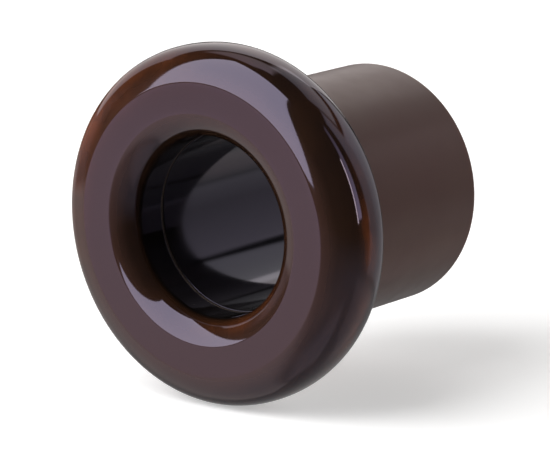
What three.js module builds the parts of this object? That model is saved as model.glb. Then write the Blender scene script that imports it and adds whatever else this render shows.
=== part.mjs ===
// A glazed porcelain wall bushing: a round flanged head, a straight tube that passes through the
// wall, and the thin bed of cement that joins them. Millimetres, +Z up. The bushing's axis is Y:
// the head faces -Y, the tube runs into the wall along +Y, and the origin is on the axis at the
// wall's surface, where the back of the flange seats.

import * as THREE from "three";

// ---- Driving dimensions ------------------------------------------------------------------------

// The head.
const flangeDiameter = 28.0;
const flangeThickness = 6.0;
const frontRoundWidth = 2.6; // radial width of the rounding outside the flat front ring
const frontRoundDepth = 3.0; // how far back that rounding reaches the full diameter
const backRoundWidth = 2.2;
const lipRound = 1.9; // radius of the rounding from the front ring into the bore
const headBoreStep = 0.05; // how much wider the head's bore is than the tube's, on the radius

// The tube.
const tubeDiameter = 19.2;
const boreDiameter = 14.0;
const overallLength = 23.0; // front ring to the tube's far end
const tubeEdgeRound = 0.4;

// The joint between them.
const shoulderDepth = 4.1; // front ring to the socket's shoulder inside the head
const cementThickness = 0.4; // round the tube, in the socket
const cementEndThickness = 0.2; // between the tube's end and the shoulder
const cementRecess = 0.3; // how far the cement stays short of the flange's back
const fitGap = 0.05; // between the cement and each piece of porcelain

// Shape of the roundings: 2 is an ellipse, more is squarer.
const frontRoundPower = 2.4;
const backRoundPower = 2.3;

// Facets.
const sidesRound = 64;
const stepsOuterRound = 7;
const stepsLipRound = 5;
const stepsEdgeRound = 2;
const smallestLand = 0.5; // flat ring that a rounding always leaves beside it

// ---- Sizes that follow -------------------------------------------------------------------------

const flangeRadius = flangeDiameter / 2;
const tubeRadius = tubeDiameter / 2;
const tubeBoreRadius = boreDiameter / 2;
const headBoreRadius = tubeBoreRadius + headBoreStep;

const yFront = -flangeThickness;
const yWidest = yFront + frontRoundDepth;
const yShoulder = yFront + shoulderDepth;
const yTubeStart = yShoulder + cementEndThickness + 2 * fitGap;
const yTubeEnd = yFront + overallLength;

const socketRadius = tubeRadius + cementThickness + 2 * fitGap;
const ringOuterRadius = flangeRadius - frontRoundWidth;
const lipWidth = Math.min(lipRound, ringOuterRadius - headBoreRadius - smallestLand);
const ringInnerRadius = headBoreRadius + lipWidth;
const backRoundRoom = flangeRadius - socketRadius - smallestLand;
const seatRadius = flangeRadius - Math.min(backRoundWidth, backRoundRoom);

// ---- Profiles ----------------------------------------------------------------------------------

// A quarter of a rounded corner from one point to another in the (radius, y) half plane. It leaves
// the first point along the radius when alongRadius is true, and along y when it is false. The
// corner follows |u|^power + |v|^power = 1, where u and v run from 0 to 1 across the quarter.
function roundedCorner(from, to, alongRadius, steps, power = 2) {
  const points = [];
  for (let i = 0; i <= steps; i += 1) {
    const angle = (i / steps) * (Math.PI / 2);
    const leaving = Math.sin(angle) ** (2 / power);
    const arriving = 1 - Math.cos(angle) ** (2 / power);
    const radiusShare = alongRadius ? leaving : arriving;
    const yShare = alongRadius ? arriving : leaving;
    points.push([from[0] + (to[0] - from[0]) * radiusShare, from[1] + (to[1] - from[1]) * yShare]);
  }
  return points;
}

function turned(profile) {
  const loop = [...profile, profile[0]].map(([radius, y]) => new THREE.Vector2(radius, y));
  return new THREE.LatheGeometry(loop, sidesRound);
}

// Head: the flat front ring, a rounding out to the full diameter, a rounding back to the flat seat
// against the wall, the socket that takes the tube, its shoulder, and the rounded lip of the bore.
function headProfile() {
  const ringOuter = [ringOuterRadius, yFront];
  const widest = [flangeRadius, yWidest];
  const seatOuter = [seatRadius, 0];
  return [
    ...roundedCorner(ringOuter, widest, true, stepsOuterRound, frontRoundPower),
    ...roundedCorner(widest, seatOuter, false, stepsOuterRound, backRoundPower).slice(1),
    [socketRadius, 0],
    [socketRadius, yShoulder],
    [headBoreRadius, yShoulder],
    ...roundedCorner([headBoreRadius, yFront + lipWidth], [ringInnerRadius, yFront], false, stepsLipRound),
  ];
}

// Tube: a straight sleeve with square front end, and its far end's two edges eased.
function tubeProfile() {
  const ease = tubeEdgeRound;
  return [
    [tubeBoreRadius, yTubeStart],
    [tubeRadius, yTubeStart],
    ...roundedCorner([tubeRadius, yTubeEnd - ease], [tubeRadius - ease, yTubeEnd], false, stepsEdgeRound),
    ...roundedCorner([tubeBoreRadius + ease, yTubeEnd], [tubeBoreRadius, yTubeEnd - ease], true, stepsEdgeRound),
  ];
}

// Cement: an L in section, round the tube in the socket and across the tube's end at the shoulder.
function cementProfile() {
  const inner = tubeRadius + fitGap;
  const outer = inner + cementThickness;
  const yShoulderSide = yShoulder + fitGap;
  const yTubeSide = yShoulderSide + cementEndThickness;
  return [
    [tubeBoreRadius, yShoulderSide],
    [outer, yShoulderSide],
    [outer, -cementRecess],
    [inner, -cementRecess],
    [inner, yTubeSide],
    [tubeBoreRadius, yTubeSide],
  ];
}

// ---- The object --------------------------------------------------------------------------------

const glossyGlaze = new THREE.MeshStandardMaterial({ color: "#46281c", roughness: 0.08, metalness: 0 });
const satinGlaze = new THREE.MeshStandardMaterial({ color: "#463330", roughness: 0.35, metalness: 0 });
const cement = new THREE.MeshStandardMaterial({ color: "#8a8178", roughness: 0.9, metalness: 0 });

const bushing = new THREE.Group();
bushing.name = "wall_bushing";

const pieces = [
  ["flange_head", headProfile(), glossyGlaze],
  ["wall_tube", tubeProfile(), satinGlaze],
  ["cement_bed", cementProfile(), cement],
];
for (const [name, profile, material] of pieces) {
  const mesh = new THREE.Mesh(turned(profile), material);
  mesh.name = name;
  bushing.add(mesh);
}

export default bushing;
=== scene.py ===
"""Looks of a brown glazed porcelain wall bushing: a flanged head, its tube and the cement between.

Every piece is a closed surface of revolution about the Y axis, worked out with numpy from a
profile in the (radius, y) half plane. Lengths are in metres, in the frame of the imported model:
+Y into the wall, +Z up, origin on the axis at the wall's surface.
"""

import logging
import math
from dataclasses import dataclass, field
from enum import Enum

import bpy
import numpy as np
from mathutils import Matrix, Vector

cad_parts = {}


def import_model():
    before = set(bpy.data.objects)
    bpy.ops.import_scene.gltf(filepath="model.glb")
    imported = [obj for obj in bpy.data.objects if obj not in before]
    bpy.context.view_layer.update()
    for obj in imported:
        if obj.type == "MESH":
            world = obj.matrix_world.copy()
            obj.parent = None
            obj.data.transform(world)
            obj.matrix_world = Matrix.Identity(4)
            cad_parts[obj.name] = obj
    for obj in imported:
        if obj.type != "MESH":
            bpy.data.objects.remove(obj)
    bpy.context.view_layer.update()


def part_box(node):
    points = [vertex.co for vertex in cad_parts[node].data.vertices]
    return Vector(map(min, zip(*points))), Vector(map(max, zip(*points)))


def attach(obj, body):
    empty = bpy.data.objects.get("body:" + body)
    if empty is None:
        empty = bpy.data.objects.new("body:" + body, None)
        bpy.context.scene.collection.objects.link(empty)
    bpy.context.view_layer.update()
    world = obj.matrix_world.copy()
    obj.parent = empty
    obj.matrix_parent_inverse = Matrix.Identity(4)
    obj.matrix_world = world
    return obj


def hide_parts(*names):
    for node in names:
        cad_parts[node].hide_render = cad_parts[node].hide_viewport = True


LOG = logging.getLogger("wall_bushing")
MM = 0.001
Band = tuple[float, float, float, float, float]
Tree = bpy.types.NodeTree
Socket = bpy.types.NodeSocket


class Mask(Enum):
    """The point attributes that tell a glaze where it changes."""

    # Glaze running thin over edges, and orange-brown painted light on strongly lit places.
    THIN = "thin_and_lit"
    SATIN = "satin"
    # Painted sheen: a lighter brown on the front ring.
    RING_SHEEN = "ring_sheen"
    # Painted shade: darkens the bore to near black, where little light reaches.
    BORE_SHADE = "bore_shade_and_speck"


class Stage(Enum):
    """The names of what stands round the object."""

    FLOOR = "studio_floor"
    CAMERA = "studio_camera"
    WORLD = "studio_surround"


def linear_colour(code: str) -> tuple[float, float, float, float]:
    """Turns an sRGB hex code into the linear colour that a shader socket takes.

    Args:
        code: Six hex digits after a hash sign.

    Returns:
        Linear red, green and blue, and an alpha of 1.
    """
    shares = [int(code[i : i + 2], 16) / 255 for i in (1, 3, 5)]
    red, green, blue = (s / 12.92 if s <= 0.04045 else ((s + 0.055) / 1.055) ** 2.4 for s in shares)
    return red, green, blue, 1.0


def add_node(tree: Tree, kind: str, inputs: dict | None = None, **settings: object) -> bpy.types.Node:
    """Adds one node, sets its properties, and fills or links its inputs.

    Args:
        tree: The node tree that takes the node.
        kind: The node's type, without the ShaderNode in front.
        inputs: Input name or number to a value, or to the socket that feeds it.
        settings: The node's own properties.

    Returns:
        The new node.
    """
    made = tree.nodes.new("ShaderNode" + kind)
    for name, value in settings.items():
        setattr(made, name, value)
    for name, value in (inputs or {}).items():
        if isinstance(value, Socket):
            tree.links.new(value, made.inputs[name])
        else:
            made.inputs[name].default_value = value
    return made


# ---- Profiles ----------------------------------------------------------------------------------


@dataclass
class Profile:
    """A closed outline in the (radius, y) half plane, built corner by corner.

    Attributes:
        spacing: Longest step between points on a straight or round stretch.
        guard: How close to each end of a straight stretch a point keeps its shading flat.
        shortest: Length below which a step is part of a curve and isn't divided.
        arc_step: Largest angle of one step of an eased corner's arc.
        least_turn: Turn below which a corner is too slight to be eased.
        most_reach: Share of a side that an eased corner may take.
        corners: Radius, y and ease of each corner so far.
    """

    spacing: float = 0.4 * MM
    guard: float = 0.02 * MM
    shortest: float = 0.25 * MM
    arc_step: float = math.radians(9.0)
    least_turn: float = math.radians(1.0)
    most_reach: float = 0.45
    corners: list[tuple[float, float, float]] = field(default_factory=list)

    def corner(self, radius: float, y: float, ease: float = 0.0) -> None:
        """Adds a corner.

        Args:
            radius: The corner's distance from the axis.
            y: The corner's place along the axis.
            ease: Radius of the small fillet that breaks the corner.
        """
        self.corners.append((radius, y, ease))

    def sweep(
        self,
        start: tuple[float, float],
        lean_out: tuple[float, float],
        lean_in: tuple[float, float],
        end: tuple[float, float],
        ease: float,
        steps: int,
    ) -> None:
        """Adds a rounding: a cubic Bezier from start to end, with its two control points.

        A point is the sum of the four given points weighted by the cubic Bernstein polynomials.

        Args:
            start: First point, where the corner may be eased.
            lean_out: Control point that the curve leaves towards.
            lean_in: Control point that the curve arrives from.
            end: Last point.
            ease: Radius of the fillet at the first and last point, where they are real corners.
            steps: Number of steps along the curve.
        """
        share = np.linspace(0.0, 1.0, steps + 1)[:, None]
        rest = 1.0 - share
        points = (
            rest**3 * np.array(start)
            + 3 * rest**2 * share * np.array(lean_out)
            + 3 * rest * share**2 * np.array(lean_in)
            + share**3 * np.array(end)
        )
        last = len(points) - 1
        for i, (radius, y) in enumerate(points):
            self.corner(float(radius), float(y), ease if i in (0, last) else 0.0)

    def path(self) -> np.ndarray:
        """Works out the outline's points, with eased corners as arcs and long straights divided.

        Returns:
            An array of (radius, y) rows, closed from the last row back to the first.
        """
        places = np.array([(radius, y) for radius, y, _ in self.corners])
        pieces = [self._eased(places, i) for i in range(len(places))]
        rows = []
        for i, piece in enumerate(pieces):
            rows.extend(piece)
            rows.extend(self._between(piece[-1], pieces[(i + 1) % len(pieces)][0]))
        return np.array(rows)

    def _eased(self, places: np.ndarray, i: int) -> np.ndarray:
        """Works out the points of one corner.

        An eased corner is an arc that touches both its sides: each spoke from the centre is
        turned evenly from the first to the last.

        Args:
            places: The corners' (radius, y) rows.
            i: The corner's number.

        Returns:
            The corner itself, or the arc's points.
        """
        ease = self.corners[i][2]
        here = places[i]
        if ease <= 0.0:
            return here[None, :]
        back = places[i - 1] - here
        ahead = places[(i + 1) % len(places)] - here
        back_length, ahead_length = np.linalg.norm(back), np.linalg.norm(ahead)
        back, ahead = back / back_length, ahead / ahead_length
        half = math.acos(float(np.clip(back @ ahead, -1.0, 1.0))) / 2
        turn = math.pi - 2 * half
        if turn < self.least_turn:
            return here[None, :]
        room = self.most_reach * min(back_length, ahead_length)
        reach = min(ease / math.tan(half), room)
        ease = reach * math.tan(half)
        middle = (back + ahead) / np.linalg.norm(back + ahead)
        centre = here + middle * ease / math.sin(half)
        first, last = here + back * reach - centre, here + ahead * reach - centre
        steps = max(3, math.ceil(turn / self.arc_step))
        share = np.linspace(0.0, 1.0, steps + 1)[:, None]
        spoke = np.sin((1 - share) * turn) * first + np.sin(share * turn) * last
        return centre + spoke / math.sin(turn)

    def _between(self, start: np.ndarray, end: np.ndarray) -> list[np.ndarray]:
        """Divides a straight stretch.

        Args:
            start: Its first point.
            end: Its last point.

        Returns:
            The points between, with one close to each end, or none on a step of a curve.
        """
        length = float(np.linalg.norm(end - start))
        if length < self.shortest:
            return []
        count = max(1, math.ceil(length / self.spacing))
        shares = np.linspace(0.0, 1.0, count + 1)[1:-1]
        close = self.guard / length
        middle = shares[(shares > close) & (shares < 1 - close)]
        shares = np.concatenate([[close], middle, [1 - close]])
        return [start + (end - start) * s for s in shares]


@dataclass(frozen=True)
class Waviness:
    """The slow unevenness that fired glaze keeps, as a sum of waves round and along the outline.

    Attributes:
        depth: How deep the waves go below the nominal surface, at most.
        seed: Seed of the waves' phases.
        waves: Number of waves.
        most_round: Most turns of a wave round the axis, either way.
        most_along: Most turns of a wave along the outline.
    """

    depth: float
    seed: int
    waves: int = 9
    most_round: int = 6
    most_along: int = 8

    def below(self, angle: np.ndarray, share: np.ndarray) -> np.ndarray:
        """How far each point lies below the nominal surface.

        Each wave is a cosine of a whole number of turns round the axis plus a whole number of
        turns along the closed outline, so that it meets itself.

        Args:
            angle: Angles round the axis, as a column.
            share: Shares of the outline's length, as a row.

        Returns:
            Depths from 0 to the full depth, on the grid.
        """
        chance = np.random.default_rng(self.seed)
        total = np.zeros((len(angle), share.shape[-1]))
        for _ in range(self.waves):
            round_turns = int(chance.integers(-self.most_round, self.most_round + 1))
            along_turns = int(chance.integers(1, self.most_along + 1))
            phase = chance.uniform(0.0, 2 * math.pi)
            total += np.cos(round_turns * angle + 2 * math.pi * along_turns * share + phase)
        return self.depth * (0.5 - 0.5 * total / self.waves)


@dataclass(frozen=True)
class Patch:
    """A place on a turned piece that a point attribute marks, fading outwards.

    Attributes:
        radius: The place's distance from the axis.
        y: The place along the axis.
        reach: Distance over which it fades.
        strength: Value at its middle.
        bearing: Degrees round the axis from +X towards +Z of its middle.
        spread: Degrees to each side over which it fades; none when it runs all the way round.
    """

    radius: float
    y: float
    reach: float
    strength: float
    bearing: float = 0.0
    spread: float | None = None

    def value(self, path: np.ndarray, angle: np.ndarray) -> np.ndarray:
        """Its value on the grid of angles and outline points.

        Args:
            path: Outline rows of (radius, y).
            angle: Angles round the axis, as a column.

        Returns:
            The strength times a bell across the outline and a bell round the axis.
        """
        away = np.hypot(path[:, 0] - self.radius, path[:, 1] - self.y)[None, :]
        across = self.strength * np.exp(-((away / self.reach) ** 2))
        if self.spread is None:
            return across + 0 * angle
        turn = angle - math.radians(self.bearing)
        off = np.degrees(np.arctan2(np.sin(turn), np.cos(turn)))
        return across * np.exp(-((off / self.spread) ** 2))


@dataclass
class Turned:
    """A closed surface of revolution about the Y axis.

    Attributes:
        name: The piece's name.
        profile: Its outline.
        waviness: The unevenness of its surface.
        sides: Number of facets round the axis.
        marks: Mask to the patches that it marks.
        bands: Mask to (low radius, high radius, low y, high y, fade) bands.
        inner_skin: Radius within which faces take the second material.
    """

    name: str
    profile: Profile
    waviness: Waviness
    sides: int = 420
    marks: dict[Mask, list[Patch]] = field(default_factory=dict)
    bands: dict[Mask, list[Band]] = field(default_factory=dict)
    inner_skin: float = 0.0

    def build(self) -> bpy.types.Object:
        """Turns the outline round the axis and makes the object.

        A point is (r cos a, y, r sin a) for each outline point (r, y) and each angle a, moved
        inwards along the outline's normal by the waviness.

        Returns:
            The new object, at the origin.
        """
        path = self.profile.path()
        ahead, behind = np.roll(path, -1, axis=0), np.roll(path, 1, axis=0)
        slope = ahead - behind
        slope /= np.linalg.norm(slope, axis=1)[:, None]
        turns_left = np.sum(path[:, 0] * ahead[:, 1] - ahead[:, 0] * path[:, 1]) > 0
        outward = np.stack([slope[:, 1], -slope[:, 0]], axis=1) * (1.0 if turns_left else -1.0)
        lengths = np.linalg.norm(ahead - path, axis=1)
        share = np.concatenate([[0.0], np.cumsum(lengths)[:-1]]) / lengths.sum()
        angle = np.linspace(0.0, 2 * math.pi, self.sides, endpoint=False)[:, None]
        below = self.waviness.below(angle, share[None, :])
        radius = path[None, :, 0] - outward[None, :, 0] * below
        y = path[None, :, 1] - outward[None, :, 1] * below
        grid = np.stack([radius * np.cos(angle), y, radius * np.sin(angle)], axis=-1)

        rings, points = grid.shape[:2]
        number = np.arange(rings * points).reshape(rings, points)
        right, next_one = np.roll(number, -1, axis=0), np.roll(number, -1, axis=1)
        both = np.roll(right, -1, axis=1)
        order = (number, next_one, both, right) if turns_left else (number, right, both, next_one)
        faces = np.stack(order, axis=-1).reshape(-1, 4)

        mesh = bpy.data.meshes.new(self.name)
        mesh.from_pydata(grid.reshape(-1, 3), [], faces.tolist())
        mesh.update()
        mesh.shade_smooth()
        inner = np.maximum(path[:, 0], ahead[:, 0]) < self.inner_skin
        mesh.polygons.foreach_set("material_index", np.tile(inner, rings).astype(np.int32))
        for attribute, values in self._attributes(path, angle).items():
            layer = mesh.attributes.new(attribute, "FLOAT", "POINT")
            layer.data.foreach_set("value", values.ravel().astype(np.float32))
        piece = bpy.data.objects.new(self.name, mesh)
        bpy.context.scene.collection.objects.link(piece)
        return piece

    def _attributes(self, path: np.ndarray, angle: np.ndarray) -> dict[str, np.ndarray]:
        """Works out each point attribute from its patches or bands.

        Args:
            path: Outline rows of (radius, y).
            angle: Angles round the axis, as a column.

        Returns:
            Attribute name to its values on the grid of angles and outline points.
        """
        made = {}
        for mask, patches in self.marks.items():
            made[mask.value] = np.maximum.reduce([patch.value(path, angle) for patch in patches])
        radius, y = path[:, 0], path[:, 1]
        for mask, bands in self.bands.items():
            value = np.zeros(len(path))
            for low_r, high_r, low_y, high_y, fade in bands:
                short = np.maximum.reduce([low_r - radius, radius - high_r, low_y - y, y - high_y])
                value = np.maximum(value, np.clip(1 - short / fade, 0.0, 1.0))
            made[mask.value] = value[None, :] + 0 * angle
        return made


# ---- Finishes ----------------------------------------------------------------------------------


@dataclass(frozen=True)
class GlazeFinish:
    """Brown iron glaze fused on porcelain, orange-brown where it runs thin, with painted light and shade:
    near black down the bore, lighter on the front ring, orange-brown where strongly lit.

    Attributes:
        name: The material's name.
        deep: Colour of thick glaze.
        warm: Colour of slightly thinner glaze, in clouds.
        ring_sheen: Lighter brown of the front ring, a painted sheen that stands in for the pale
            surroundings it reflects.
        bore_shade_and_speck: Near-black painted shade down the bore, where little light reaches; also the
            colour of the dark specks.
        thin_and_lit: Orange-brown where the glaze runs thin over an edge, and painted light where it is
            strongly lit.
        lustre: Tint that the iron crystals give to reflections.
        roughness: Roughness of the glossy surface.
        satin_roughness: Roughness where the satin attribute is 1.
        cloud: Size of the clouds.
        breaking: Size of the blotches in which thin glaze shows.
        speck: Size of the cells that hold a dark iron speck.
        smear: Size of the slight changes in gloss.
        peel: Size of the orange peel.
        peel_height: Height of the orange peel.
        ior: Index of refraction, which sets how much the glaze mirrors.
    """

    name: str
    deep: str = "#1a100b"
    warm: str = "#22150d"
    ring_sheen: str = "#32211b"
    bore_shade_and_speck: str = "#0c0907"
    thin_and_lit: str = "#6e3a1e"
    lustre: str = "#e4daff"
    roughness: float = 0.06
    satin_roughness: float = 0.16
    cloud: float = 5.0 * MM
    breaking: float = 2.6 * MM
    speck: float = 0.9 * MM
    smear: float = 1.7 * MM
    peel: float = 2.4 * MM
    peel_height: float = 0.0003 * MM
    ior: float = 1.54

    def _blend(self, tree: Tree, share: Socket, under: Socket | tuple, over: str) -> Socket:
        """Adds a colour mix from what is under to a hex colour over it, and gives its output."""
        inputs = {"Factor": share, "A": under, "B": linear_colour(over)}
        return add_node(tree, "Mix", inputs, data_type="RGBA").outputs["Result"]

    def _noise(self, tree: Tree, place: Socket, size: float, detail: float) -> Socket:
        """Adds a noise with features of the given size, and gives its output."""
        inputs = {"Vector": place, "Scale": 1 / size, "Detail": detail}
        return add_node(tree, "TexNoise", inputs).outputs["Fac"]

    def _range(
        self, tree: Tree, value: Socket, span: tuple[float, float], onto: tuple[float, float] = (0.0, 1.0)
    ) -> Socket:
        """Adds a map from one span of values onto another.

        Args:
            tree: The material's node tree.
            value: The value that is mapped.
            span: Its two ends.
            onto: What its ends become.

        Returns:
            The mapped value's output.
        """
        ends = {"From Min": span[0], "From Max": span[1], "To Min": onto[0], "To Max": onto[1]}
        return add_node(tree, "MapRange", {"Value": value, **ends}).outputs["Result"]

    def _colour(self, tree: Tree, place: Socket, masks: dict[Mask, Socket]) -> Socket:
        """Mixes the glaze's colour: clouds, painted sheen on the front ring, thin places with painted
        light where strongly lit, painted shade down the bore, and dark specks over all.

        Args:
            tree: The material's node tree.
            place: The Object coordinates.
            masks: Each mask's value.

        Returns:
            The colour's output.
        """
        clouds = self._range(tree, self._noise(tree, place, self.cloud, 3.0), (0.35, 0.7))
        colour = self._blend(tree, clouds, linear_colour(self.deep), self.warm)
        # Painted sheen: the front ring is lighter, standing in for the pale surroundings it reflects.
        colour = self._blend(tree, masks[Mask.RING_SHEEN], colour, self.ring_sheen)
        # Orange-brown where the glaze runs thin, and painted light where the rim and lip are strongly
        # lit.
        broken = self._range(tree, self._noise(tree, place, self.breaking, 2.0), (0.3, 0.65), (0.25, 1.0))
        thin_and_lit = add_node(tree, "Math", {0: masks[Mask.THIN], 1: broken}, operation="MULTIPLY")
        colour = self._blend(tree, thin_and_lit.outputs["Value"], colour, self.thin_and_lit)
        # Painted shade: near black down the bore, where little light reaches.
        colour = self._blend(tree, masks[Mask.BORE_SHADE], colour, self.bore_shade_and_speck)
        # Dark iron specks, in the same near-black colour as the bore's painted shade.
        cells = add_node(tree, "TexVoronoi", {"Vector": place, "Scale": 1 / self.speck})
        specks = self._range(tree, cells.outputs["Distance"], (0.05, 0.1), (0.12, 0.0))
        return self._blend(tree, specks, colour, self.bore_shade_and_speck)

    def build(self) -> bpy.types.Material:
        """Makes the material.

        Returns:
            The material, with its nodes on Object coordinates and the piece's own attributes.
        """
        material = bpy.data.materials.new(self.name)
        material.use_nodes = True
        tree = material.node_tree
        tree.nodes.clear()
        place = add_node(tree, "TexCoord").outputs["Object"]
        masks = {
            mask: add_node(tree, "Attribute", attribute_name=mask.value).outputs["Fac"] for mask in Mask
        }
        colour = self._colour(tree, place, masks)
        gloss = self._range(tree, masks[Mask.SATIN], (0.0, 1.0), (self.roughness, self.satin_roughness))
        uneven = self._range(tree, self._noise(tree, place, self.smear, 2.0), (0.3, 0.7), (0.93, 1.08))
        rough = add_node(tree, "Math", {0: gloss, 1: uneven}, operation="MULTIPLY")
        peel = add_node(
            tree,
            "TexNoise",
            {"Vector": place, "Scale": 1 / self.peel, "Detail": 2.0, "Roughness": 0.4},
        )
        bump = add_node(
            tree,
            "Bump",
            {"Height": peel.outputs["Fac"], "Distance": self.peel_height, "Strength": 1.0},
        )
        shader = add_node(
            tree,
            "BsdfPrincipled",
            {
                "Base Color": colour,
                "Roughness": rough.outputs["Value"],
                "IOR": self.ior,
                "Specular Tint": linear_colour(self.lustre),
                "Normal": bump.outputs["Normal"],
            },
        )
        add_node(tree, "OutputMaterial", {"Surface": shader.outputs["BSDF"]})
        return material


@dataclass(frozen=True)
class CementFinish:
    """Fired lute between the two porcelain pieces: matt, grainy, stained brown by the glaze.

    Attributes:
        name: The material's name.
        pale: Colour of its clean grains.
        stained: Colour where the glaze has run into it.
        roughness: Roughness of its surface.
        grain: Size of the grains.
        grain_height: Height of the grains.
    """

    name: str = "fired_brown_cement"
    pale: str = "#4d4039"
    stained: str = "#241a15"
    roughness: float = 0.85
    grain: float = 0.25 * MM
    grain_height: float = 0.02 * MM

    def build(self) -> bpy.types.Material:
        """Makes the material.

        Returns:
            The material.
        """
        material = bpy.data.materials.new(self.name)
        material.use_nodes = True
        tree = material.node_tree
        tree.nodes.clear()
        place = add_node(tree, "TexCoord").outputs["Object"]
        grain = add_node(tree, "TexNoise", {"Vector": place, "Scale": 1 / self.grain, "Detail": 4.0})
        height = grain.outputs["Fac"]
        ends = {"A": linear_colour(self.stained), "B": linear_colour(self.pale)}
        colour = add_node(tree, "Mix", {"Factor": height, **ends}, data_type="RGBA")
        bump = add_node(tree, "Bump", {"Height": height, "Distance": self.grain_height, "Strength": 0.8})
        shader = add_node(
            tree,
            "BsdfPrincipled",
            {
                "Base Color": colour.outputs["Result"],
                "Roughness": self.roughness,
                "Normal": bump.outputs["Normal"],
            },
        )
        add_node(tree, "OutputMaterial", {"Surface": shader.outputs["BSDF"]})
        return material


# ---- The bushing -------------------------------------------------------------------------------


@dataclass
class Bushing:
    """The bushing's shared sizes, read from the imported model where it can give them.

    Attributes:
        bore_radius: Radius of the tube's bore.
        head_bore_step: How much wider the head's bore is, on the radius.
        lip_width: Size of the rounding from the front ring into the bore.
        front_round_width: Radial width of the rounding outside the front ring.
        front_round_depth: How far back that rounding reaches the full radius.
        back_round_width: Radial width of the rounding behind it.
        crease_lean: Angle at which both roundings leave the flat front ring.
        cement_gap: Gap between the cement and the porcelain.
    """

    bore_radius: float = 7.0 * MM
    head_bore_step: float = 0.05 * MM
    lip_width: float = 1.9 * MM
    front_round_width: float = 2.6 * MM
    front_round_depth: float = 3.0 * MM
    back_round_width: float = 2.2 * MM
    crease_lean: float = math.radians(11.0)
    cement_gap: float = 0.02 * MM

    def __post_init__(self) -> None:
        """Takes the outer sizes from the nodes' boxes."""
        head_low, head_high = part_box("flange_head")
        tube_low, tube_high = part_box("wall_tube")
        cement_low, cement_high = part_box("cement_bed")
        self.flange_radius = head_high.x
        self.y_front, self.y_seat = head_low.y, head_high.y
        self.tube_radius = tube_high.x
        self.y_tube_start, self.y_tube_end = tube_low.y, tube_high.y
        self.y_cement_start, self.y_cement_end = cement_low.y, cement_high.y
        self.cement_radius = cement_high.x
        self.head_bore = self.bore_radius + self.head_bore_step
        self.ring_outer = self.flange_radius - self.front_round_width
        self.ring_inner = self.head_bore + self.lip_width
        self.y_widest = self.y_front + self.front_round_depth


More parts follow.
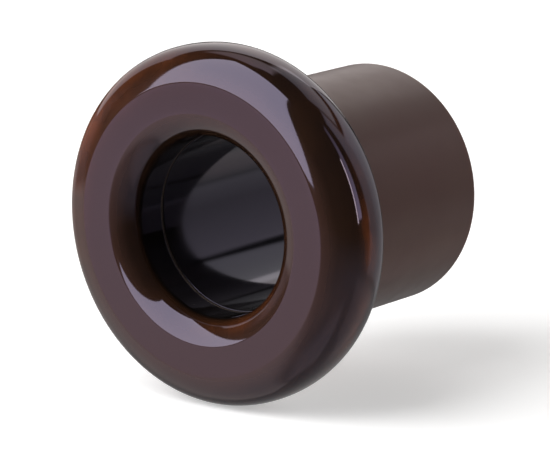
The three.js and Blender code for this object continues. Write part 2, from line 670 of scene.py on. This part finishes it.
@dataclass
class FlangeHead:
    """The glossy head: flat front ring, rounded rim, rounded lip, socket for the tube.

    Attributes:
        sizes: The bushing's shared sizes.
        crease_ease: Radius that softens the crease beside the front ring.
        edge_ease: Radius of the bore's edge at the shoulder.
        socket_ease: Radius of the socket's edges.
        front_pull: How far the front rounding's first control point lies, as a share of its width.
        rim_pull: How far its second lies before the widest place, as a share of its depth.
        back_pull: How far the back rounding's first lies, as a share of its depth.
        seat_pull: How far its second lies before the seat, as a share of its width.
        lip_pull: How far both of the lip's lie, as a share of its width.
        steps: Steps along the front rounding, the back rounding and the lip.
        unevenness: The waves of its surface.
    """

    sizes: Bushing
    crease_ease: float = 1.3 * MM
    edge_ease: float = 0.04 * MM
    socket_ease: float = 0.08 * MM
    front_pull: float = 0.74
    rim_pull: float = 0.6364
    back_pull: float = 0.66
    seat_pull: float = 0.62
    lip_pull: float = 0.56
    steps: tuple[int, int, int] = (40, 30, 32)
    unevenness: Waviness = Waviness(0.008 * MM, 11)

    def profile(self) -> Profile:
        """Draws the head's outline, from the front ring round the rim, the socket and the lip.

        Returns:
            The closed outline.
        """
        s = self.sizes
        front_steps, back_steps, lip_steps = self.steps
        lean_r, lean_y = math.cos(s.crease_lean), math.sin(s.crease_lean)
        out = s.front_round_width * self.front_pull
        made = Profile()
        made.sweep(
            (s.ring_outer, s.y_front),
            (s.ring_outer + out * lean_r, s.y_front + out * lean_y),
            (s.flange_radius, s.y_widest - s.front_round_depth * self.rim_pull),
            (s.flange_radius, s.y_widest),
            self.crease_ease,
            front_steps,
        )
        made.corners.pop()
        seat_radius = s.flange_radius - s.back_round_width
        made.sweep(
            (s.flange_radius, s.y_widest),
            (s.flange_radius, s.y_widest + (s.y_seat - s.y_widest) * self.back_pull),
            (seat_radius + s.back_round_width * self.seat_pull, s.y_seat),
            (seat_radius, s.y_seat),
            0.0,
            back_steps,
        )
        socket = s.cement_radius + s.cement_gap
        shoulder = s.y_cement_start - s.cement_gap
        made.corner(socket, s.y_seat, self.socket_ease)
        made.corner(socket, shoulder, self.socket_ease)
        made.corner(s.head_bore, shoulder, self.edge_ease)
        lip = s.lip_width * self.lip_pull
        made.sweep(
            (s.head_bore, s.y_front + s.lip_width),
            (s.head_bore, s.y_front + s.lip_width - lip),
            (s.ring_inner - lip * lean_r, s.y_front + lip * lean_y),
            (s.ring_inner, s.y_front),
            self.crease_ease,
            lip_steps,
        )
        return made

    def thin_and_lit_places(self) -> list[Patch]:
        """Sets where the glaze runs thin, and where orange-brown painted light goes.

        Returns:
            Patches all round the rim, where the glaze runs thin, and patches of painted light at its
            upper left and its right, and in the lip.
        """
        s = self.sizes
        rim = Patch(s.flange_radius, s.y_widest, 0.7 * MM, 0.22)
        # Painted light: orange-brown at the rim's upper left and right and the lip's lower right, where
        # the lamps and the floor light them.
        left = Patch(s.flange_radius - 0.8 * MM, s.y_widest - 1.7 * MM, 1.6 * MM, 0.8, 145.0, 42.0)
        right = Patch(s.flange_radius, s.y_widest - 0.4 * MM, 0.5 * MM, 0.7, 6.0, 11.0)
        lip = Patch(s.head_bore + 0.45 * MM, s.y_front + 0.35 * s.lip_width, 0.8 * MM, 0.35, -55.0, 45.0)
        return [rim, left, right, lip]

    def skins(self) -> dict[Mask, list[Band]]:
        """Sets where the glaze's skin changes.

        Returns:
            Bands of satin skin and of painted sheen on the front ring, and of painted shade down the
            bore.
        """
        s = self.sizes
        ahead = s.y_front - MM
        inside, outside = s.ring_inner + 0.22 * MM, s.ring_outer - 0.25 * MM
        satin = (inside, outside, ahead, s.y_front + 0.02 * MM, 0.2 * MM)
        # Painted sheen: a lighter brown over the front ring, fading onto its roundings.
        ring_sheen = (s.ring_inner, s.ring_outer, ahead, s.y_front + 0.3 * MM, 1.3 * MM)
        throat = s.y_front + 0.9 * s.lip_width
        # Painted shade: the bore darkens to near black beyond the throat, where little light reaches.
        bore_shade_and_speck = (s.head_bore - MM, s.head_bore + 0.1 * MM, throat, s.y_seat, 0.35 * MM)
        return {Mask.SATIN: [satin], Mask.RING_SHEEN: [ring_sheen], Mask.BORE_SHADE: [bore_shade_and_speck]}

    def build(self, finish: GlazeFinish) -> bpy.types.Object:
        """Makes the head, dresses it and ties it to its node.

        Args:
            finish: The head's glaze.

        Returns:
            The piece.
        """
        piece = Turned(
            "flange_head_glazed",
            self.profile(),
            self.unevenness,
            marks={Mask.THIN: self.thin_and_lit_places()},
            bands=self.skins(),
        ).build()
        piece.data.materials.append(finish.build())
        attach(piece, "root")
        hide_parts("flange_head")
        return piece


@dataclass
class WallTube:
    """The straight tube, with a satin glaze outside and a glossy bore.

    Attributes:
        sizes: The bushing's shared sizes.
        end_ease: Radius of the far end's edges.
        front_ease: Radius of the edges inside the head.
        skin: Depth under the bore's surface that still counts as the bore.
        unevenness: The waves of its surface.
    """

    sizes: Bushing
    end_ease: float = 0.35 * MM
    front_ease: float = 0.04 * MM
    skin: float = 0.1 * MM
    unevenness: Waviness = Waviness(0.005 * MM, 23)

    def build(self, outside: GlazeFinish, inside: GlazeFinish) -> bpy.types.Object:
        """Makes the tube, dresses it and ties it to its node.

        Args:
            outside: The glaze on the tube's outside and far end.
            inside: The glaze in its bore.

        Returns:
            The piece.
        """
        s = self.sizes
        profile = Profile()
        profile.corner(s.bore_radius, s.y_tube_start, self.front_ease)
        profile.corner(s.tube_radius, s.y_tube_start, self.front_ease)
        profile.corner(s.tube_radius, s.y_tube_end, self.end_ease)
        profile.corner(s.bore_radius, s.y_tube_end, self.end_ease)
        outer_edge = Patch(s.tube_radius, s.y_tube_end, 0.35 * MM, 0.5)
        inner_edge = Patch(s.bore_radius, s.y_tube_end, 0.3 * MM, 0.5)
        bore = s.bore_radius + self.skin
        piece = Turned(
            "wall_tube_glazed",
            profile,
            self.unevenness,
            marks={Mask.THIN: [outer_edge, inner_edge]},
            # Painted shade: the bore darkens to near black, where little light reaches.
            bands={Mask.BORE_SHADE: [(0.0, bore, s.y_tube_start, s.y_tube_end - MM, 0.8 * MM)]},
            inner_skin=bore,
        ).build()
        piece.data.materials.append(outside.build())
        piece.data.materials.append(inside.build())
        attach(piece, "root")
        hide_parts("wall_tube")
        return piece


@dataclass
class CementBed:
    """The fired cement round the tube in its socket and across the tube's end.

    Attributes:
        sizes: The bushing's shared sizes.
        bore_step: How much wider it is than the tube's bore, on the radius.
        ease: Radius of its edges.
        lip_ease: Radius of its edges at the mouth of the socket.
        sides: Number of facets round the axis.
        unevenness: The waves of its surface.
    """

    sizes: Bushing
    bore_step: float = 0.08 * MM
    ease: float = 0.03 * MM
    lip_ease: float = 0.08 * MM
    sides: int = 192
    unevenness: Waviness = Waviness(0.015 * MM, 5)

    def build(self, finish: CementFinish) -> bpy.types.Object:
        """Makes the cement, dresses it and ties it to its node.

        Args:
            finish: The cement's finish.

        Returns:
            The piece.
        """
        s = self.sizes
        inner = s.tube_radius + s.cement_gap
        turn_y = s.y_tube_start - s.cement_gap
        bore = s.bore_radius + self.bore_step
        profile = Profile(guard=0.01 * MM)
        profile.corner(bore, s.y_cement_start, self.ease)
        profile.corner(s.cement_radius, s.y_cement_start, self.ease)
        profile.corner(s.cement_radius, s.y_cement_end, self.lip_ease)
        profile.corner(inner, s.y_cement_end, self.lip_ease)
        profile.corner(inner, turn_y, self.ease)
        profile.corner(bore, turn_y, self.ease)
        piece = Turned("cement_bed_fired", profile, self.unevenness, self.sides).build()
        piece.data.materials.append(finish.build())
        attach(piece, "root")
        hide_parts("cement_bed")
        return piece


# ---- Studio ------------------------------------------------------------------------------------


def direction(azimuth: float, elevation: float) -> Vector:
    """The unit vector towards an azimuth, counted from the front towards +X, and an elevation.

    Args:
        azimuth: Degrees.
        elevation: Degrees.

    Returns:
        The direction, from the object outwards.
    """
    a, e = math.radians(azimuth), math.radians(elevation)
    return Vector((math.sin(a) * math.cos(e), -math.cos(a) * math.cos(e), math.sin(e)))


@dataclass(frozen=True)
class Softbox:
    """A rectangular soft light that faces the object.

    Attributes:
        name: The light's name.
        azimuth: Degrees from the front towards +X.
        elevation: Degrees above the horizon.
        width: Width as a share of its distance.
        height: Height as a share of its distance.
        radiance: Brightness of its face, where 1 shows as white.
        colour: Its colour.
        roll: Degrees that it is turned about its own axis.
        mirrored: Whether the glaze mirrors it.
        distance: How far it stands from the object.
    """

    name: str
    azimuth: float
    elevation: float
    width: float
    height: float
    radiance: float
    colour: tuple[float, float, float] = (1.0, 1.0, 1.0)
    roll: float = 0.0
    mirrored: bool = True
    distance: float = 1.2

    def build(self) -> bpy.types.Object:
        """Makes the light.

        Returns:
            The light's object, unseen by the camera itself.
        """
        light = bpy.data.lights.new(self.name, "AREA")
        light.shape = "RECTANGLE"
        light.size = self.width * self.distance
        light.size_y = self.height * self.distance
        light.energy = self.radiance * math.pi * light.size * light.size_y
        light.color = self.colour
        lamp = bpy.data.objects.new(self.name, light)
        away = direction(self.azimuth, self.elevation)
        roll = Matrix.Rotation(math.radians(self.roll), 3, "Z")
        turn = away.to_track_quat("Z", "Y").to_matrix() @ roll
        lamp.matrix_world = Matrix.Translation(away * self.distance) @ turn.to_4x4()
        lamp.visible_camera = False
        lamp.visible_glossy = self.mirrored
        bpy.context.scene.collection.objects.link(lamp)
        return lamp


@dataclass(frozen=True)
class Card:
    """A glowing sheet curved round the object, seen only in its reflections.

    Attributes:
        name: The sheet's name.
        azimuths: Where it starts and ends, in degrees.
        elevations: Its lower and upper edge, in degrees.
        low: Brightness at its lower edge, where 1 mirrors as plain white would.
        high: Brightness at its upper edge.
        soft: Degrees over which its upper and lower edges fade.
        soft_ends: Degrees over which its ends fade.
        colour: Its colour.
        distance: How far it stands from the object.
        soft_last: Degrees over which its last end fades, where that differs from the first.
        columns: Number of points along it.
        rows: Number of points up it.
    """

    name: str
    azimuths: tuple[float, float]
    elevations: tuple[float, float]
    low: float
    high: float
    soft: float = 1.0
    soft_ends: float = 3.0
    colour: str = "#ffffff"
    distance: float = 1.6
    soft_last: float | None = None
    columns: int = 61
    rows: int = 41

    def build(self) -> bpy.types.Object:
        """Makes the sheet.

        A point lies at the distance times (sin a cos e, -cos a cos e, sin e) for each azimuth a
        and elevation e on a regular grid.

        Returns:
            The sheet's object.
        """
        across = np.linspace(*self.azimuths, self.columns)[:, None]
        up = np.linspace(*self.elevations, self.rows)[None, :]
        a, e = np.radians(across), np.radians(up)
        points = np.stack([np.sin(a) * np.cos(e), -np.cos(a) * np.cos(e), np.sin(e) + 0 * a], axis=-1)
        number = np.arange(points.shape[0] * points.shape[1]).reshape(points.shape[:2])
        faces = np.stack([number[:-1, :-1], number[:-1, 1:], number[1:, 1:], number[1:, :-1]], axis=-1)
        mesh = bpy.data.meshes.new(self.name)
        mesh.from_pydata((points * self.distance).reshape(-1, 3), [], faces.reshape(-1, 4).tolist())
        first_end = (across - self.azimuths[0]) / self.soft_ends
        last_end = (self.azimuths[1] - across) / (self.soft_last or self.soft_ends)
        edges = np.minimum(up - self.elevations[0], self.elevations[1] - up) / self.soft
        fade = np.clip(np.minimum(np.minimum(first_end, last_end), edges), 0.0, 1.0)
        level = np.linspace(self.low, self.high, up.size)[None, :] * fade * fade * (3 - 2 * fade)
        layer = mesh.attributes.new("level", "FLOAT", "POINT")
        layer.data.foreach_set("value", level.ravel().astype(np.float32))
        sheet = bpy.data.objects.new(self.name, mesh)
        bpy.context.scene.collection.objects.link(sheet)
        material = bpy.data.materials.new(self.name + "_glow")
        material.use_nodes = True
        tree = material.node_tree
        tree.nodes.clear()
        glow = add_node(tree, "Attribute", attribute_name="level").outputs["Fac"]
        light = add_node(tree, "Emission", {"Color": linear_colour(self.colour), "Strength": glow})
        clear = add_node(tree, "BsdfTransparent")
        both = add_node(tree, "AddShader", {0: light.outputs["Emission"], 1: clear.outputs["BSDF"]})
        add_node(tree, "OutputMaterial", {"Surface": both.outputs["Shader"]})
        mesh.materials.append(material)
        for ray in ("camera", "diffuse", "shadow", "transmission", "volume_scatter"):
            setattr(sheet, "visible_" + ray, False)
        return sheet


@dataclass(frozen=True)
class Studio:
    """Floor, surround, lights and camera.

    Attributes:
        azimuth: Camera's azimuth in degrees.
        elevation: Camera's elevation in degrees.
        distance: Camera's distance from what it aims at.
        aim: The point at the middle of the picture.
        lens: Focal length in millimetres.
        sensor: The sensor's width in millimetres.
        clip: The nearest and farthest distance that the camera sees.
        floor_half: Half the floor's width.
        floor_shade: The floor's grey, from 0 to 1.
        floor_glow: Brightness that the floor adds of its own.
        horizon: Sines of the two elevations between which the surround changes.
        surround_levels: The surround's brightness below the first and above the second.
    """

    azimuth: float = 37.36
    elevation: float = 12.58
    distance: float = 286.7 * MM
    aim: tuple[float, float, float] = (4.49 * MM, -2.44 * MM, 0.46 * MM)
    lens: float = 248.2
    sensor: float = 36.0
    clip: tuple[float, float] = (0.01, 20.0)
    floor_half: float = 6.0
    floor_shade: float = 0.82
    floor_glow: float = 0.4
    horizon: tuple[float, float] = (-0.45, -0.1)
    surround_levels: tuple[float, float] = (0.34, 0.03)

    def camera(self) -> None:
        """Makes the camera and makes it the scene's."""
        data = bpy.data.cameras.new(Stage.CAMERA.value)
        data.sensor_width = self.sensor
        data.lens = self.lens
        data.clip_start, data.clip_end = self.clip
        view = bpy.data.objects.new(Stage.CAMERA.value, data)
        back = direction(self.azimuth, self.elevation)
        turn = back.to_track_quat("Z", "Y").to_matrix().to_4x4()
        view.matrix_world = Matrix.Translation(Vector(self.aim) + back * self.distance) @ turn
        bpy.context.scene.collection.objects.link(view)
        bpy.context.scene.camera = view

    def floor(self, height: float) -> None:
        """Lays a plain pale floor.

        Args:
            height: Its height in the frame.
        """
        half = self.floor_half
        mesh = bpy.data.meshes.new(Stage.FLOOR.value)
        square = [(x * half, y * half, height) for x, y in ((-1, -1), (1, -1), (1, 1), (-1, 1))]
        mesh.from_pydata(square, [], [(0, 1, 2, 3)])
        plane = bpy.data.objects.new(Stage.FLOOR.value, mesh)
        bpy.context.scene.collection.objects.link(plane)
        material = bpy.data.materials.new("matt_white_paper")
        material.use_nodes = True
        shader = material.node_tree.nodes["Principled BSDF"]
        shader.inputs["Base Color"].default_value = (*[self.floor_shade] * 3, 1.0)
        shader.inputs["Roughness"].default_value = 1.0
        shader.inputs["Specular IOR Level"].default_value = 0.0
        shader.inputs["Emission Color"].default_value = (1.0, 1.0, 1.0, 1.0)
        shader.inputs["Emission Strength"].default_value = self.floor_glow
        mesh.materials.append(material)
        plane.visible_glossy = False

    def surround(self) -> None:
        """Makes a dim surround, a little lighter below the horizon than above it."""
        world = bpy.data.worlds.new(Stage.WORLD.value)
        world.use_nodes = True
        tree = world.node_tree
        tree.nodes.clear()
        place = add_node(tree, "TexCoord").outputs["Generated"]
        parts = add_node(tree, "SeparateXYZ", {"Vector": place})
        span = {"From Min": self.horizon[0], "From Max": self.horizon[1]}
        onto = {"To Min": self.surround_levels[0], "To Max": self.surround_levels[1]}
        level = add_node(tree, "MapRange", {"Value": parts.outputs["Z"], **span, **onto})
        seen = add_node(tree, "LightPath").outputs["Is Camera Ray"]
        mix = {"Factor": seen, "A": level.outputs["Result"], "B": 1.0}
        strength = add_node(tree, "Mix", mix, data_type="FLOAT").outputs["Result"]
        back = add_node(tree, "Background", {"Color": (1.0, 1.0, 1.0, 1.0), "Strength": strength})
        add_node(tree, "OutputWorld", {"Surface": back.outputs["Background"]})
        bpy.context.scene.world = world

    def lights(self) -> None:
        """Sets up the soft lights."""
        for box in (
            Softbox("key_softbox", -27.0, 35.0, 0.82, 1.46, 4.7, roll=-4.0),
            Softbox("rim_softbox", 106.8, 18.0, 0.065, 0.6, 9.0, (1.0, 0.88, 0.78)),
            Softbox("left_diffuser", -126.0, 26.0, 1.7, 0.74, 1.15, (1.0, 0.94, 0.92)),
            Softbox("side_fill", 110.0, 30.0, 0.9, 0.9, 0.9, mirrored=False),
        ):
            box.build()

    def cards(self) -> None:
        """Hangs the sheets that the glaze mirrors."""
        for card in (
            Card(
                "front_sheet",
                (-105.0, -12.0),
                (-82.0, -8.0),
                0.55,
                0.72,
                1.0,
                34.0,
                "#fff0de",
                soft_last=15.0,
            ),
            Card("low_right_sheet", (-24.0, 75.0), (-82.0, -32.0), 0.4, 0.3, 16.0, 24.0, "#fff0e8"),
            Card("front_top_sheet", (-60.0, -12.0), (-19.0, -8.0), 0.0, 0.85, 1.0, 12.0, "#d2ccff"),
            Card("left_sheet", (-130.0, -88.0), (-35.0, -2.0), 0.2, 0.42, 6.0, 6.0, "#fff0e8"),
            Card("left_low_sheet", (-112.0, -60.0), (-16.0, 16.0), 0.45, 0.3, 14.0, 14.0, "#f0dce0"),
            Card("left_gap_sheet", (-88.0, -60.0), (-3.0, 40.0), 0.6, 0.3, 6.0, 6.0, "#a0603c"),
            Card("rim_sheet", (108.5, 123.5), (2.0, 52.0), 2.6, 0.6, 1.0, 3.0, "#eae0f4"),
            Card("top_sheet", (-172.0, -96.0), (48.0, 80.0), 0.7, 1.5, 5.0, 10.0, "#f6e4e0"),
            Card("right_back_sheet", (136.0, 156.0), (-24.0, 48.0), 0.28, 0.9, 3.0, 4.0, "#f2edf2"),
            Card("back_sheet", (152.0, 190.0), (-24.0, 30.0), 0.28, 1.05, 2.0, 4.0, "#f2edf2"),
            Card("back_top_sheet", (154.0, 202.0), (33.0, 56.0), 0.85, 0.5, 1.5, 6.0),
            Card("back_floor_sheet", (100.0, 175.0), (-62.0, -22.0), 0.22, 0.22, 9.0, 9.0, "#e6c8c2"),
            Card("side_sheet", (104.0, 125.0), (-12.0, 1.0), 0.2, 0.25, 2.0, 3.0, "#b07a58"),
        ):
            card.build()

    def build(self, floor_height: float) -> None:
        """Makes everything round the object.

        Args:
            floor_height: Height of the floor in the frame.
        """
        bpy.context.scene.view_settings.view_transform = "Standard"
        self.camera()
        self.floor(floor_height)
        self.surround()
        self.lights()
        self.cards()


def main() -> None:
    """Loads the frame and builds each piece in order."""
    logging.basicConfig(level=logging.INFO, format="%(message)s")
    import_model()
    sizes = Bushing()
    gloss = GlazeFinish("gloss_brown_glaze")
    # The bore's glaze, which the tube's bands darken with painted shade.
    bore = GlazeFinish("shaded_bore_brown_glaze", roughness=0.085)
    satin = GlazeFinish(
        "satin_brown_glaze",
        deep="#3d2722",
        warm="#3f2b24",
        lustre="#ffe9e5",
        roughness=0.33,
        ior=1.45,
    )
    pieces = [
        FlangeHead(sizes).build(gloss),
        WallTube(sizes).build(satin, bore),
        CementBed(sizes).build(CementFinish()),
    ]
    for piece in pieces:
        LOG.info("%s: %d faces", piece.name, len(piece.data.polygons))
    Studio().build(-sizes.flange_radius)


if __name__ == "__main__":
    main()
